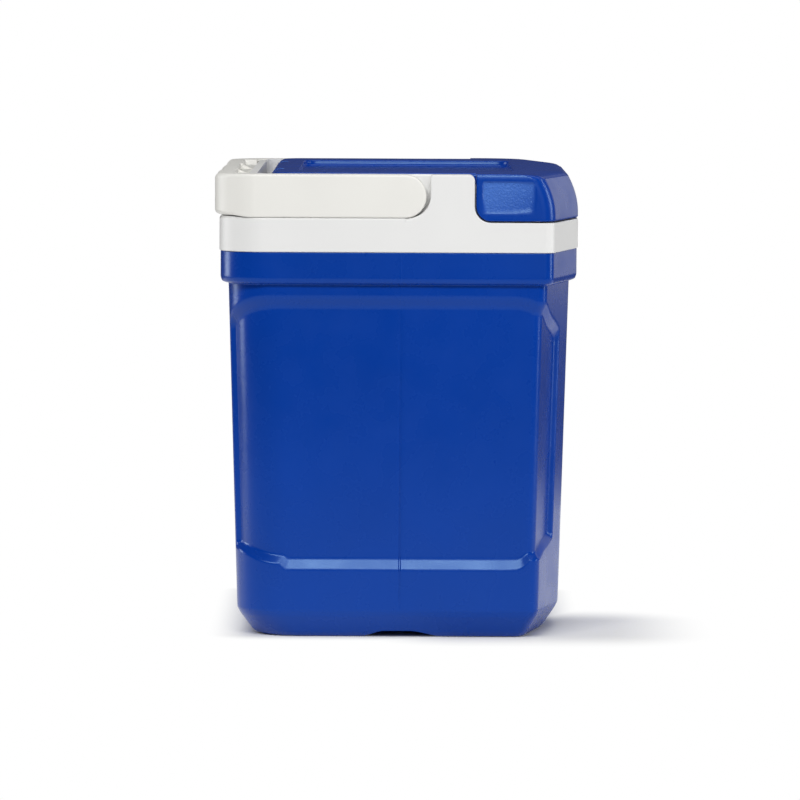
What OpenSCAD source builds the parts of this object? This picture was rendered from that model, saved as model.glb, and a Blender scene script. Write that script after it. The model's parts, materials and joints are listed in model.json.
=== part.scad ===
// Swing-handle cooler chest: a foam-filled tub in a ribbed outer body, a fixed top collar,
// a lid hinged at the back and a bail handle that folds back into the collar.
// Millimetres. X runs along the length, -Y is the front, +Y the back, +Z up.
// The origin is the middle of the flat base.

/* [Overall] */
// Length of the rim and the collar, side to side
length = 440; // [400:5:480]
// Distance from the origin to the collar's front face
front = 157.6; // [150:0.2:165]
// Distance from the origin to the collar's back face
back = 153.3; // [146:0.1:160]
// Height of the seam between the rim and the collar
seam_z = 334; // [313:1:353]
// Height of the top of the lid
top_z = 401.5; // [388:0.5:423]

/* [Plan outline] */
// Half width of the flat middle of the front
front_flat = 120; // [100:1:140]
// How far the slanted front facets fall back at the sides
facet_fall = 24; // [15:1:30]
// Radius where a facet meets the side
side_corner_r = 7; // [5:0.5:10]
// Radius of the back corners
back_corner_r = 38; // [32:1:42]

/* [Body] */
// Inset of the body's wall below the rim
rim_step = 7.7; // [5:0.1:10]
// Height of the rim band
rim_h = 28; // [20:1:34]
// Draft of the body's walls, in degrees
draft = 1.6; // [1:0.1:2]
// Depth of the recessed side panels
panel_depth = 4.5; // [2:0.5:6]
// Height of the foot of the recessed side panels
panel_foot_z = 59.6; // [50:0.2:70]
// Height of the head of the recessed side panels
panel_head_z = 295; // [283:1:301]
// Wall thickness of the mouldings
wall = 3; // [2.5:0.1:3.5]

/* [Tub] */
// Inset of the tub's mouth from the side of the collar
mouth_side = 34; // [34:1:38]
// Inset of the tub's mouth from the front of the collar
mouth_front = 31; // [30:1:36]
// Height of the tub's floor
floor_z = 34; // [30:1:60]

/* [Lid] */
// Distance from the origin back to the notch that the lid's front fills
notch_y = 66.2; // [60:0.1:72]
// Height of the lid skirt's lower edge
skirt_z = 361.1; // [359:0.1:365]
// Half width of the lid behind the notch
lid_half = 198; // [196:0.5:198]
// Depth of the tray in the top of the lid
tray_depth = 5.5; // [3:0.5:5.5]

/* [Handle] */
// Distance from the handle's pivot forward of the origin
pivot_y = 6.35; // [5:0.05:8]
// Height of the handle's pivot
pivot_z = 382; // [381:0.5:382]
// Half height of the handle's arms
arm_r = 18.6; // [16:0.1:18.6]
// Distance from the origin to the back of the crossbar
handle_back = 157.6; // [155:0.2:160]
// Outer radius of the handle's corners, seen from above
handle_corner_r = 40; // [34:1:44]

/* [Hidden] */

eps = 0.01;
far = 600;
$fn = 96;

half = length / 2;
facet_angle = atan(facet_fall / (half - front_flat));
arc_steps = 8;

// Outer body levels, each [height, inset from the collar's outline]
function drafted(z) = rim_step + (seam_z - rim_h - z) * tan(draft);
base_levels = [[0, drafted(0) + 11], [1.2, drafted(1) + 8.6], [4, drafted(4) + 6.6],
    [19, drafted(19) + 0.6], [23, drafted(23)]];
rim_levels = [[seam_z - rim_h, 6], [seam_z - rim_h + 1.4, 2.4], [seam_z - rim_h + 5, 1], [seam_z, 1]];
panel_ledge = 9.5;
panel_lip = 4;
panel_front_x = 150;
panel_back_x = 172;
base_t = 9;
arch_y = [-42, -19, 17, 30.5];
arch_h = 5.5;
arch_run = 90;

// Tub and seat
mouth_back = 65.3;
mouth_corner_r = 30;
tub_neck_z = 375;
tub_draft = 1.6;
tub_wall = 2.5;
tub_bevel = 4;
flange_front = 20;
seat_z = 391.6;
flange_t = 2;
skin_t = 1.8;
lip_h = 9;
foam_gap = 0.2;

// Collar
band_z = 359.8;
collar_top_z = 400.4;
block_side = 16.4;
block_back_y = 128;
lid_gap = 0.6;
notch_gap = 1.2;
pillar_back_y = 28;
notch_r = 14;
recess_r = 21.8;

// Lid
lid_rim_z = 392;
lid_pan_t = 1.4;
lid_corner_r = 24;
plug_z = 375;
plug_gap = 2.2;
hinge_y = 103;
hinge_z = 393;
barrel_r = 8.5;
trough_r = 9.1;
channel_back_y = 121.5;
channel_floor_z = 381;
strip_z = 399.8;
knuckle_r = 7.6;
knuckle_x = 100;
knuckle_half = 11.6;
hinge_pin_r = 2.5;
hinge_pin_half = 22;
run_gap = 0.06;
lean_start_z = 365;
lean_end_z = 397;
lean_scale = 118;
tray_half = 145;
tray_front_y = 101;
tray_back_y = 86;
tray_corner_r = 12;

// Grained finger dishes in the lid's ends
pad_y = [-119, -72];
pad_z = [366.6, 395.7];
pad_corner_r = 5;
pad_recess = 1.2;

// Handle
arm_t = 15.5;
grip_half = 66;
band_half = 184;
lip_y = 142;
band_drop = 5;
groove_r = 15;
groove_pitch = 25;
groove_sag = 4.5;
crossbar_y = 130;
handle_inner_r = 22;
pin_r = 4;
bush_r = 6;
bush_flange_r = 8.5;
clip_r = 5.5;
pocket_back_wall = 3.6;
pocket_end_x = 166;
pocket_rib = 3;

plug_hole_r = 8;
plug_head_r = 11;
plug_spot_y = 80;
lid_plug_hole_r = 6;
lid_plug_head_r = 9;

blue = "#0a3f9f";
deep_blue = "#08357f";
white = "#e6e6e2";
foam = "#e9dfb8";
steel = "#b9bcc0";

// One outline, counter-clockwise from above: a flat front with a slanted facet each side,
// straight sides and round back corners. ds, df and db inset the sides, front and back.
function facet_y(x, inset) = -front + (x - front_flat) * tan(facet_angle) + inset / cos(facet_angle);
function arc(cx, cy, r, a0, a1, n) =
    [for (i = [0:n]) let (a = a0 + (a1 - a0) * i / n) [cx + r * cos(a), cy + r * sin(a)]];
function right_side(ds, df, db, rc, rb) = concat(
    [[front_flat - df * tan(facet_angle / 2), df - front]],
    arc(half - ds - rc, facet_y(half - ds - rc, df + rc), rc, facet_angle - 90, 0, arc_steps),
    arc(half - ds - rb, back - db - rb, rb, 0, 90, arc_steps));
function plan(ds, df, db, rc, rb) =
    let (side = right_side(ds, df, db, rc, rb), n = len(side))
    concat(side, [for (i = [0:n - 1]) [-side[n - 1 - i][0], side[n - 1 - i][1]]]);
// The collar's outline inset evenly by d
function ring(d) = plan(d, d, d, max(side_corner_r - d, 2), max(back_corner_r - d, 6));
// The body's outline keeps its corner radii as it narrows
function body_ring(d) = plan(d, d, d, side_corner_r, back_corner_r);
// The tub's mouth inset evenly by d, and how much the tub has tapered at a height
function tub_taper(z) = (tub_neck_z - z) * tan(tub_draft);
function mouth(d) = plan(mouth_side + d, mouth_front + d, mouth_back + d, mouth_corner_r, mouth_corner_r);

// A closed solid through levels, each [height, outline], all outlines with as many points
module loft(levels) {
    n = len(levels[0][1]);
    m = len(levels);
    points = [for (level = levels, p = level[1]) [p[0], p[1], level[0]]];
    sides = [for (k = [0:m - 2], i = [0:n - 1])
        let (j = (i + 1) % n, a = k * n + i, b = k * n + j)
        each [[a, a + n, b + n], [a, b + n, b]]];
    base = [[for (i = [0:n - 1]) i]];
    cap = [[for (i = [n - 1:-1:0]) (m - 1) * n + i]];
    polyhedron(points = points, faces = concat(sides, base, cap), convexity = 6);
}

module slab(outline, z0, z1) {
    translate([0, 0, z0]) linear_extrude(z1 - z0) polygon(outline);
}

module bar_x(x0, x1, y, z, r) {
    translate([x0, y, z]) rotate([0, 90, 0]) cylinder(h = x1 - x0, r = r);
}

module block(x0, x1, y0, y1, z0, z1) {
    translate([x0, y0, z0]) cube([x1 - x0, y1 - y0, z1 - z0]);
}

module round_rect(x0, x1, y0, y1, r) {
    translate([x0 + r, y0]) square([x1 - x0 - 2 * r, y1 - y0]);
    translate([x0, y0 + r]) square([x1 - x0, y1 - y0 - 2 * r]);
    for (x = [x0 + r, x1 - r], y = [y0 + r, y1 - r]) translate([x, y]) circle(r);
}

// ---------------------------------------------------------------- body

function body_levels(recess) = concat(
    base_levels,
    [[panel_foot_z, drafted(panel_foot_z)],
     [panel_foot_z + panel_ledge, drafted(panel_foot_z + panel_ledge) + recess],
     [panel_head_z - panel_lip, drafted(panel_head_z - panel_lip) + recess],
     [panel_head_z, drafted(panel_head_z)],
     [seam_z - rim_h, drafted(seam_z - rim_h)]],
    rim_levels);

module body_loft(recess) {
    loft([for (level = body_levels(recess)) [level[0], body_ring(level[1])]]);
}

module body_outside() {
    body_loft(panel_depth);
    intersection() {
        body_loft(0);
        union() {
            block(-panel_front_x, panel_front_x, -far, 0, 1, seam_z);
            block(-panel_back_x, panel_back_x, 0, far, 1, seam_z);
        }
    }
}

module body_hollow(gap) {
    inner = wall + gap;
    panel_inner = panel_depth + inner;
    rim_z = seam_z - rim_h;
    loft([[base_t + gap, body_ring(drafted(base_t) + panel_inner + 3)],
        [2 * base_t, body_ring(drafted(2 * base_t) + panel_inner)],
        [rim_z - 6, body_ring(drafted(rim_z - 6) + panel_inner)],
        [rim_z + 4, body_ring(1 + inner)],
        [seam_z + (gap > 0 ? -lip_h - 1 : 1), body_ring(1 + inner)]]);
}

module foot_arch() {
    // A shallow arch under each end, between the feet
    for (s = [-1, 1]) translate([s * (half - arch_run / 2), 0, 0]) rotate([90, 0, 90])
        linear_extrude(arch_run, center = true)
            polygon([[arch_y[0], -1], [arch_y[0], 0], [arch_y[1], arch_h],
                [arch_y[2], arch_h], [arch_y[3], 0], [arch_y[3], -1]]);
}

module body_shell() {
    color(blue) difference() {
        body_outside();
        body_hollow(0);
        foot_arch();
        translate([0, plug_spot_y, -1]) cylinder(h = 12, r = plug_hole_r);
        translate([0, plug_spot_y, -1]) cylinder(h = 3.5, r = plug_head_r + 0.5);
    }
}

module tub_outside(gap) {
    grown = tub_wall + gap;
    loft([[floor_z - grown, mouth(tub_taper(floor_z) - grown)],
        [tub_neck_z, mouth(-grown)], [seat_z + 20, mouth(-grown)]]);
}

module body_foam() {
    color(foam) difference() {
        body_hollow(foam_gap);
        tub_outside(foam_gap);
        translate([0, plug_spot_y, 0]) cylinder(h = 15, r = plug_head_r + 1);
    }
}

module body_fill_plug() {
    color(deep_blue) translate([0, plug_spot_y, 0]) {
        translate([0, 0, 0.6]) cylinder(h = 1.9, r = plug_head_r);
        translate([0, 0, 1]) cylinder(h = 12, r = plug_hole_r);
    }
}

// ---------------------------------------------------------------- tub

module liner() {
    color(white) difference() {
        union() {
            loft([[floor_z - tub_wall, mouth(tub_taper(floor_z) - tub_wall)],
                [tub_neck_z, mouth(-tub_wall)], [seat_z - eps, mouth(-tub_wall)]]);
            slab(flange_plan(0), seat_z - flange_t, seat_z);
        }
        loft([[floor_z, mouth(tub_taper(floor_z) + tub_bevel)],
            [floor_z + tub_bevel, mouth(tub_taper(floor_z + tub_bevel))],
            [tub_neck_z, mouth(0)], [seat_z + 1, mouth(0)]]);
    }
}

// The flange's outline, grown by the gap around it
function flange_plan(gap) = plan(half - lid_half + 1 - gap, flange_front - gap,
    back - hinge_y + trough_r + 0.7 - gap, mouth_corner_r, mouth_corner_r);

// ---------------------------------------------------------------- collar

function block_plan(d) =
    plan(block_side + d, block_side + d, back - block_back_y + d, 6, max(lid_corner_r - d, 4));

module arm_recess_side() {
    // Everything that the arm sweeps, beside and behind the collar's upper block
    x0 = half - block_side;
    bar_x(x0, far, -pivot_y, pivot_z, recess_r);
    block(x0, far, -pillar_back_y - 0.15, far, pivot_z, far);
    block(x0, far, -pivot_y, far, band_z + 0.4, far);
}

module collar_outside() {
    slab(ring(0), seam_z, band_z);
    slab(block_plan(0), band_z - eps, collar_top_z);
    for (s = [0, 1]) mirror([s, 0, 0]) {
        difference() {
            block(half - block_side - 1, half, -notch_y, 22, band_z - eps, collar_top_z);
            arm_recess_side();
        }
        difference() {
            block(half - block_side - 1, half, -notch_y - notch_r, -notch_y + 1, band_z - eps, band_z + notch_r);
            bar_x(0, far, -notch_y - notch_r, band_z + notch_r, notch_r);
        }
    }
}

module lid_plan() {
    round_rect(-lid_half, lid_half, -far, hinge_y + barrel_r, lid_corner_r);
}

module lid_recess() {
    // The seat that the lid lies in, and the open channel behind it that its barrel turns in
    block(-lid_half - lid_gap, lid_half + lid_gap, -far, hinge_y, seat_z, far);
    block(-far, far, -far, -notch_y, seat_z, far);
    bar_x(-lid_half - lid_gap, lid_half + lid_gap, hinge_y, hinge_z, trough_r);
    intersection() {
        block(-lid_half - lid_gap, lid_half + lid_gap, hinge_y, channel_back_y, channel_floor_z, far);
        slab(block_plan(wall), channel_floor_z - 1, far + 1);
    }
    block(-half + block_side - eps, half - block_side + eps, channel_back_y - eps, far, strip_z, far);
}

module collar_cavities() {
    tub_ring = -tub_wall - 0.3 - 2.2;
    difference() {
        union() {
            slab(ring(wall), seam_z - 1, band_z - wall);
            slab(block_plan(wall), band_z - wall - eps, seat_z - flange_t - skin_t);
        }
        slab(mouth(tub_ring), 0, far);
        block(-half, half, hinge_y - trough_r - wall, far, channel_floor_z - wall, far);
    }
    for (s = [0, 1]) mirror([s, 0, 0])
        block(half - block_side + 0.5, half - wall, -notch_y + wall, -pillar_back_y - wall - 6,
            band_z - wall - 1, collar_top_z - wall);
}

module knuckle(x) {
    difference() {
        union() {
            bar_x(x - knuckle_half, x + knuckle_half, hinge_y, hinge_z, knuckle_r);
            block(x - knuckle_half, x + knuckle_half, hinge_y - 6, hinge_y + 7, channel_floor_z - 1, hinge_z);
        }
        bar_x(x - far, x + far, hinge_y, hinge_z, hinge_pin_r + run_gap);
    }
}

module locating_lip() {
    // Stands inside the body's rim
    difference() {
        union() {
            slab(ring(wall - 0.5), seam_z, seam_z + 5);
            slab(body_ring(1 + wall + 0.3), seam_z - lip_h, seam_z + eps);
        }
        slab(body_ring(1 + wall + 2.5), seam_z - lip_h - 1, seam_z + 6);
    }
}

module collar() {
    color(white) {
        difference() {
            collar_outside();
            lid_recess();
            slab(mouth(-tub_wall - 0.3), 0, far);
            slab(flange_plan(0.2), seat_z - flange_t, far);
            collar_cavities();
            for (s = [0, 1]) mirror([s, 0, 0])
                bar_x(half - block_side - 6, half - block_side + 1, -pivot_y, pivot_z, bush_r);
        }
        locating_lip();
        knuckle(-knuckle_x);
        knuckle(knuckle_x);
    }
}

module pivot_bush() {
    x0 = half - block_side;
    color(steel) difference() {
        union() {
            bar_x(x0 - wall - 0.6, x0, -pivot_y, pivot_z, bush_r);
            bar_x(x0, x0 + 0.6, -pivot_y, pivot_z, bush_flange_r);
        }
        bar_x(x0 - 10, x0 + 10, -pivot_y, pivot_z, pin_r + run_gap);
    }
}

module pivot_bush_left() {
    mirror([1, 0, 0]) pivot_bush();
}

module pivot_bush_right() {
    pivot_bush();
}

// ---------------------------------------------------------------- handle

module handle_outline() {
    inner_x = half - arm_t;
    difference() {
        union() {
            translate([-half, -pivot_y]) square([2 * half, handle_back - handle_corner_r + pivot_y]);
            translate([-half + handle_corner_r, 0]) square([2 * (half - handle_corner_r), handle_back]);
            for (s = [-1, 1]) translate([s * (half - handle_corner_r), handle_back - handle_corner_r])
                circle(handle_corner_r);
        }
        translate([-inner_x, -far]) square([2 * inner_x, far + crossbar_y - handle_inner_r]);
        translate([-inner_x + handle_inner_r, -far])
            square([2 * (inner_x - handle_inner_r), far + crossbar_y]);
        for (s = [-1, 1])
            translate([s * (inner_x - handle_inner_r), crossbar_y - handle_inner_r]) circle(handle_inner_r);
    }
}

module handle_bail() {
    inner_x = half - arm_t;
    z0 = pivot_z - arm_r;
    color(white) difference() {
        union() {
            translate([0, 0, z0]) linear_extrude(2 * arm_r) handle_outline();
            for (s = [0, 1]) mirror([s, 0, 0]) bar_x(inner_x, half, -pivot_y, pivot_z, arm_r);
        }
        for (s = [0, 1]) mirror([s, 0, 0]) {
            bar_x(inner_x - 1, half - 5.5, -pivot_y, pivot_z, pin_r);
            // open channel under the crossbar, beside the grip
            block(grip_half + pocket_rib, pocket_end_x, crossbar_y + pocket_back_wall,
                handle_back - pocket_back_wall, z0 - 1, pivot_z + arm_r - wall - band_drop);
        }
        block(-grip_half, grip_half, crossbar_y - 1, lip_y, z0 - 1, far);
        // the inner half of the crossbar's top is lower than its outer lip
        block(-band_half, band_half, crossbar_y - 1, lip_y, pivot_z + arm_r - band_drop, far);
    }
}

module handle_grip() {
    z0 = pivot_z - arm_r;
    color(white) difference() {
        block(-grip_half + 0.1, grip_half - 0.1, crossbar_y, lip_y - 0.1, z0, z0 + 2 * arm_r - band_drop);
        for (k = [-2:2]) translate([k * groove_pitch, crossbar_y - groove_r + groove_sag, z0 - 1])
            cylinder(h = 2 * arm_r + 2, r = groove_r);
    }
}

module handle_pin() {
    color(steel) bar_x(half - block_side - 6, half - 5.7, -pivot_y, pivot_z, pin_r);
}

module handle_pin_left() {
    mirror([1, 0, 0]) handle_pin();
}

module handle_pin_right() {
    handle_pin();
}

module pin_clip() {
    x1 = half - block_side - wall - 0.9;
    color(steel) difference() {
        bar_x(x1 - 1, x1, -pivot_y, pivot_z, clip_r);
        bar_x(x1 - 2, x1 + 1, -pivot_y, pivot_z, pin_r);
    }
}

module pin_clip_left() {
    mirror([1, 0, 0]) pin_clip();
}

module pin_clip_right() {
    pin_clip();
}

// ---------------------------------------------------------------- lid

// How far the lid's front leans back at a height
function lean(z) = z < lean_start_z ? 0 : pow(min(z, lean_end_z) - lean_start_z, 2) / lean_scale;
function front_plan(d, s) = plan(d, d + s, 0, side_corner_r, back_corner_r);

module lid_front_loft(d, z0, z1) {
    levels = concat([z0], [for (z = [lean_start_z:8:lean_end_z - 8]) z], [lean_end_z]);
    tops = [[z1 - 2.5, 3.4], [z1 - 0.9, 9], [z1, 34]];
    full = lean(lean_end_z);
    loft(concat([for (z = levels) [z, front_plan(d, lean(z))]],
        [for (t = tops) [t[0], plan(d + min(t[1] / 4, 4), d + full + t[1], 0, side_corner_r, back_corner_r)]]));
}

module lid_front_solid() {
    // The skirt's lower back corners follow the rounded corners of the notch
    y0 = -notch_y - notch_r;
    z0 = band_z + notch_r;
    intersection() {
        lid_front_loft(0, skirt_z, top_z);
        union() {
            block(-far, far, -far, y0, 0, far);
            block(-far, far, y0 - 1, -notch_y - notch_gap, z0, far);
            bar_x(-far, far, y0, z0, notch_r - notch_gap);
        }
    }
}

module lid_middle_solid() {
    intersection() {
        translate([0, 0, hinge_z - barrel_r]) linear_extrude(top_z - hinge_z + barrel_r) lid_plan();
        union() {
            block(-far, far, -notch_y - 2, hinge_y, lid_rim_z, far);
            bar_x(-lid_half, lid_half, hinge_y, hinge_z, barrel_r);
        }
    }
}

module tray_shape(grow, z0) {
    translate([0, 0, z0]) linear_extrude(40)
        round_rect(-tray_half - grow, tray_half + grow, -tray_front_y - grow, tray_back_y + grow,
            tray_corner_r + grow);
}

module lid_hollow() {
    skin = 2.5;
    difference() {
        union() {
            // behind the skirt, and over the foam
            intersection() {
                lid_front_loft(4.5, skirt_z - 1, top_z - wall);
                block(-far, far, -far, -notch_y - notch_r - 1, 0, far);
            }
            block(-lid_half + wall, lid_half - wall, -notch_y - notch_r - 6, hinge_y - trough_r - 1.2,
                lid_rim_z - 1, top_z - wall);
        }
        tray_shape(skin, top_z - tray_depth - skin);
    }
    // room for the collar's upper block inside the skirt
    slab(block_plan(-1.2), skirt_z - 1, lid_rim_z);
}

module pad_outline(inset) {
    round_rect(pad_y[0] + inset, pad_y[1] - inset, pad_z[0] + inset, pad_z[1] - inset, pad_corner_r);
}

module lid_shell() {
    color(blue) difference() {
        union() {
            lid_front_solid();
            lid_middle_solid();
        }
        lid_hollow();
        tray_shape(0, top_z - tray_depth);
        for (s = [0, 1]) mirror([s, 0, 0]) {
            translate([half - pad_recess, 0, 0]) rotate([90, 0, 90]) linear_extrude(10) pad_outline(0);
            bar_x(knuckle_x - knuckle_half - 0.5, knuckle_x + knuckle_half + 0.5,
                hinge_y, hinge_z, barrel_r + 0.4);
            bar_x(knuckle_x - hinge_pin_half, knuckle_x + hinge_pin_half, hinge_y, hinge_z, hinge_pin_r);
        }
    }
}

function plug_plan(d) = mouth(plug_gap + d);

module lid_liner() {
    color(white) difference() {
        union() {
            loft([[plug_z, plug_plan(3)], [plug_z + 3, plug_plan(0.3)], [lid_rim_z, plug_plan(0)],
                [lid_rim_z + lid_pan_t, plug_plan(0)]]);
            intersection() {
                slab(pan_plan(), lid_rim_z, lid_rim_z + lid_pan_t);
                block(-lid_half + wall + 0.2, lid_half - wall - 0.2, -far, hinge_y - trough_r - 1.4, 0, far);
            }
        }
        loft([[plug_z + tub_wall, plug_plan(tub_wall + 1)], [plug_z + 5, plug_plan(tub_wall)],
            [lid_rim_z + 3, plug_plan(tub_wall)]]);
        translate([0, 0, plug_z - 1]) cylinder(h = 5, r = lid_plug_hole_r);
    }
}

function pan_plan() = plan(half - lid_half, 17, 20, mouth_corner_r, mouth_corner_r);

module lid_foam() {
    d = tub_wall + foam_gap + 1;
    color(foam) difference() {
        loft([[plug_z + tub_wall + foam_gap, plug_plan(d)],
            [top_z - tray_depth - 2.5 - foam_gap, plug_plan(d)]]);
        translate([0, 0, plug_z]) cylinder(h = 6, r = lid_plug_hole_r + 0.5);
    }
}

module lid_fill_plug() {
    color(white) {
        translate([0, 0, plug_z - 1.4]) cylinder(h = 1.4, r = lid_plug_head_r);
        translate([0, 0, plug_z - 0.5]) cylinder(h = 5.5, r = lid_plug_hole_r);
    }
}

module hinge_pin() {
    color(steel) bar_x(knuckle_x - hinge_pin_half + 0.5, knuckle_x + hinge_pin_half - 0.5,
        hinge_y, hinge_z, hinge_pin_r);
}

module hinge_pin_left() {
    mirror([1, 0, 0]) hinge_pin();
}

module hinge_pin_right() {
    hinge_pin();
}

body_shell();
body_foam();
body_fill_plug();
liner();
collar();
pivot_bush_left();
pivot_bush_right();
handle_bail();
handle_grip();
handle_pin_left();
handle_pin_right();
pin_clip_left();
pin_clip_right();
lid_shell();
lid_foam();
lid_liner();
lid_fill_plug();
hinge_pin_left();
hinge_pin_right();
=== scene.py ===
import json
import math
import bmesh
import bpy
import numpy as np
from mathutils import Matrix, Vector


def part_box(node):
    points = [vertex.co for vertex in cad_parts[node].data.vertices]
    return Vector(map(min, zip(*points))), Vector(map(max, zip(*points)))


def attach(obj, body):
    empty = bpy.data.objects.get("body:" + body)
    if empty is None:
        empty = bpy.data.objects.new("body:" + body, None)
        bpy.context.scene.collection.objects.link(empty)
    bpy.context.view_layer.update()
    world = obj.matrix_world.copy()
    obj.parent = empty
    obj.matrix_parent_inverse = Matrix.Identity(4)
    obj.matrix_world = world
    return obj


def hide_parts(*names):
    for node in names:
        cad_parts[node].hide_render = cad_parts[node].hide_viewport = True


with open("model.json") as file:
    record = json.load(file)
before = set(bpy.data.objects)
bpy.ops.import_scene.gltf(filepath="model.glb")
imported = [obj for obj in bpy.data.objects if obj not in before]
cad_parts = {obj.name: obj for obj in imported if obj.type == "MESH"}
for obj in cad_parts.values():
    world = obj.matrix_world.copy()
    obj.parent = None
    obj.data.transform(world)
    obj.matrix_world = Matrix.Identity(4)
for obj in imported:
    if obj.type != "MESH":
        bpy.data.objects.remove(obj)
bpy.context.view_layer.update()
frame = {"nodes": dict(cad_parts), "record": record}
joints = {j["name"]: j for j in frame["record"]["behaviour"]["joints"]}


# ------------------------------------------------------------------ sizes, in millimetres, from the CAD part

def box(node):
    lo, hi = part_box(node)
    return np.array(lo) * 1000, np.array(hi) * 1000


COLLAR, BODY, LID, BAIL = box("collar"), box("body_shell"), box("lid_shell"), box("handle_bail")
LINER, GRIP, PAN, BUSH = box("liner"), box("handle_grip"), box("lid_liner"), box("pivot_bush_right")
HALF, FRONT, BACK = COLLAR[1][0], -COLLAR[0][1], COLLAR[1][1]
SEAM, RIM_Z = BODY[1][2], BODY[1][2] - 28
TOP, SKIRT_Z, COLLAR_TOP = LID[1][2], LID[0][2], COLLAR[1][2]
# heights near the lid were first set for a top at 398.5 and move up with it
UP = TOP - 398.5
# past every side of the part, for cutters
FAR = 300
OVER = 460
PIVOT = np.array(joints["handle_swing"]["pos_m"]) * 1000
HINGE = np.array(joints["lid_hinge"]["pos_m"]) * 1000
ARM_R = (BAIL[1][2] - BAIL[0][2]) / 2
ARM_X = HALF - 15.5
BLOCK_X = BUSH[1][0] - 0.6
BLOCK_INSET = 16.4
BLOCK_BACK_Y = 128
SEAT = LINER[1][2]
BAND_Z = SEAT - 31.8
# the collar's notch for the front of the lid, and the radius of its top edge
NOTCH_Y = -66.2
NOTCH_R = 5.2
# the front is flat to here, then angled back to the corner
FLAT_X = 120
SLOPE = 24 / (HALF - FLAT_X)
ANGLE = math.atan(SLOPE)
LIP_Y = GRIP[1][1] + 0.1
BAR_Y = GRIP[0][1]
BARREL = TOP - HINGE[2]
LID_X = HALF - 22
KNUCKLE_X = 100
KNUCKLE_HALF = 11.6
DRAFT = math.tan(math.radians(1.6))
SIDE_R, BACK_R = 9.0, 38.0
MOUTH_R = 30


def smooth(t):
    t = min(max(t, 0.0), 1.0)
    return t * t * (3 - 2 * t)


def mix(a, b, t):
    return a + (b - a) * t


# ------------------------------------------------------------------ meshes

def placed(name, data):
    obj = bpy.data.objects.new(name, data)
    bpy.context.scene.collection.objects.link(obj)
    return obj


def new_object(name, verts, faces):
    """A closed mesh from points in millimetres, with repeated and doubled points merged."""
    bm = bmesh.new()
    made = [bm.verts.new(Vector(v) * 0.001) for v in verts]
    for f in faces:
        ids = []
        for i in f:
            if i not in ids:
                ids.append(i)
        if len(ids) > 2:
            bm.faces.new([made[i] for i in ids])
    bmesh.ops.remove_doubles(bm, verts=bm.verts, dist=2e-6)
    bmesh.ops.recalc_face_normals(bm, faces=bm.faces)
    mesh = bpy.data.meshes.new(name)
    bm.to_mesh(mesh)
    bm.free()
    return placed(name, mesh)


def tube(name, rings):
    """A closed solid through rings of as many points each, with a flat face at either end."""
    n = len(rings[0])
    verts = [p for ring in rings for p in ring]
    faces = []
    for k in range(len(rings) - 1):
        for i in range(n):
            j = (i + 1) % n
            faces.append((k * n + i, k * n + j, (k + 1) * n + j, (k + 1) * n + i))
    faces.append(tuple(range(n - 1, -1, -1)))
    faces.append(tuple(range((len(rings) - 1) * n, len(rings) * n)))
    return new_object(name, verts, faces)


def miters(points):
    """The inward move of each point of a counter-clockwise outline for an inset of 1."""
    p = np.array(points, float)
    d = np.roll(p, -1, 0) - p
    d /= np.maximum(np.linalg.norm(d, axis=1), 1e-9)[:, None]
    normal = np.stack([-d[:, 1], d[:, 0]], 1)
    before = np.roll(normal, 1, 0)
    total = normal + before
    return total / np.maximum(np.sum(total * normal, axis=1), 0.35)[:, None]


def arc_points(cx, cy, r, a0, a1, n):
    out = []
    for i in range(n + 1):
        a = math.radians(a0 + (a1 - a0) * i / n)
        out.append((cx + r * math.cos(a), cy + r * math.sin(a)))
    return out


def extruded(name, outline, lo, hi, axis, r_lo=0.0, r_hi=0.0, steps=4):
    """A prism of an outline along an axis, its end edges rounded. A radius may be given for each point."""
    p = np.array(outline, float)
    move = miters(p)
    count = len(p)
    radii_lo, radii_hi = np.ones(count) * r_lo, np.ones(count) * r_hi
    rings = []

    def ring(radii, t, end, sign):
        inset = radii * (1 - math.sin(t))
        level = end + sign * radii * (1 - math.cos(t))
        q = p + move * inset[:, None]
        if axis == "z":
            return [(a, b, c) for (a, b), c in zip(q, level)]
        return [(c, a, b) for (a, b), c in zip(q, level)]

    for k in range(steps + 1) if np.any(radii_lo > 0) else [steps]:
        rings.append(ring(radii_lo, math.pi / 2 * k / steps, lo, 1))
    for k in range(steps, -1, -1) if np.any(radii_hi > 0) else [steps]:
        rings.append(ring(radii_hi, math.pi / 2 * k / steps, hi, -1))
    return tube(name, rings)


def rounded_rect(x0, x1, y0, y1, r, n=6):
    return (arc_points(x1 - r, y0 + r, r, -90, 0, n) + arc_points(x1 - r, y1 - r, r, 0, 90, n)
            + arc_points(x0 + r, y1 - r, r, 90, 180, n) + arc_points(x0 + r, y0 + r, r, 180, 270, n))


def drum(name, x0, x1, y, z, r, edge=0.0, n=48):
    return extruded(name, arc_points(y, z, r, 0, 360 - 360 / n, n - 1), x0, x1, "x", edge, edge, 3)


def apply(obj):
    """Makes a piece's modifiers part of its mesh."""
    graph = bpy.context.evaluated_depsgraph_get()
    mesh = bpy.data.meshes.new_from_object(obj.evaluated_get(graph))
    obj.modifiers.clear()
    obj.data = mesh


def combine(obj, others, how="DIFFERENCE"):
    """Cuts the others from a piece, or joins them to it, and removes them."""
    for other in others:
        m = obj.modifiers.new("cut", "BOOLEAN")
        m.operation, m.object, m.solver = how, other, "EXACT"
    bpy.context.view_layer.update()
    apply(obj)
    for other in others:
        bpy.data.objects.remove(other)
    return obj


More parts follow.
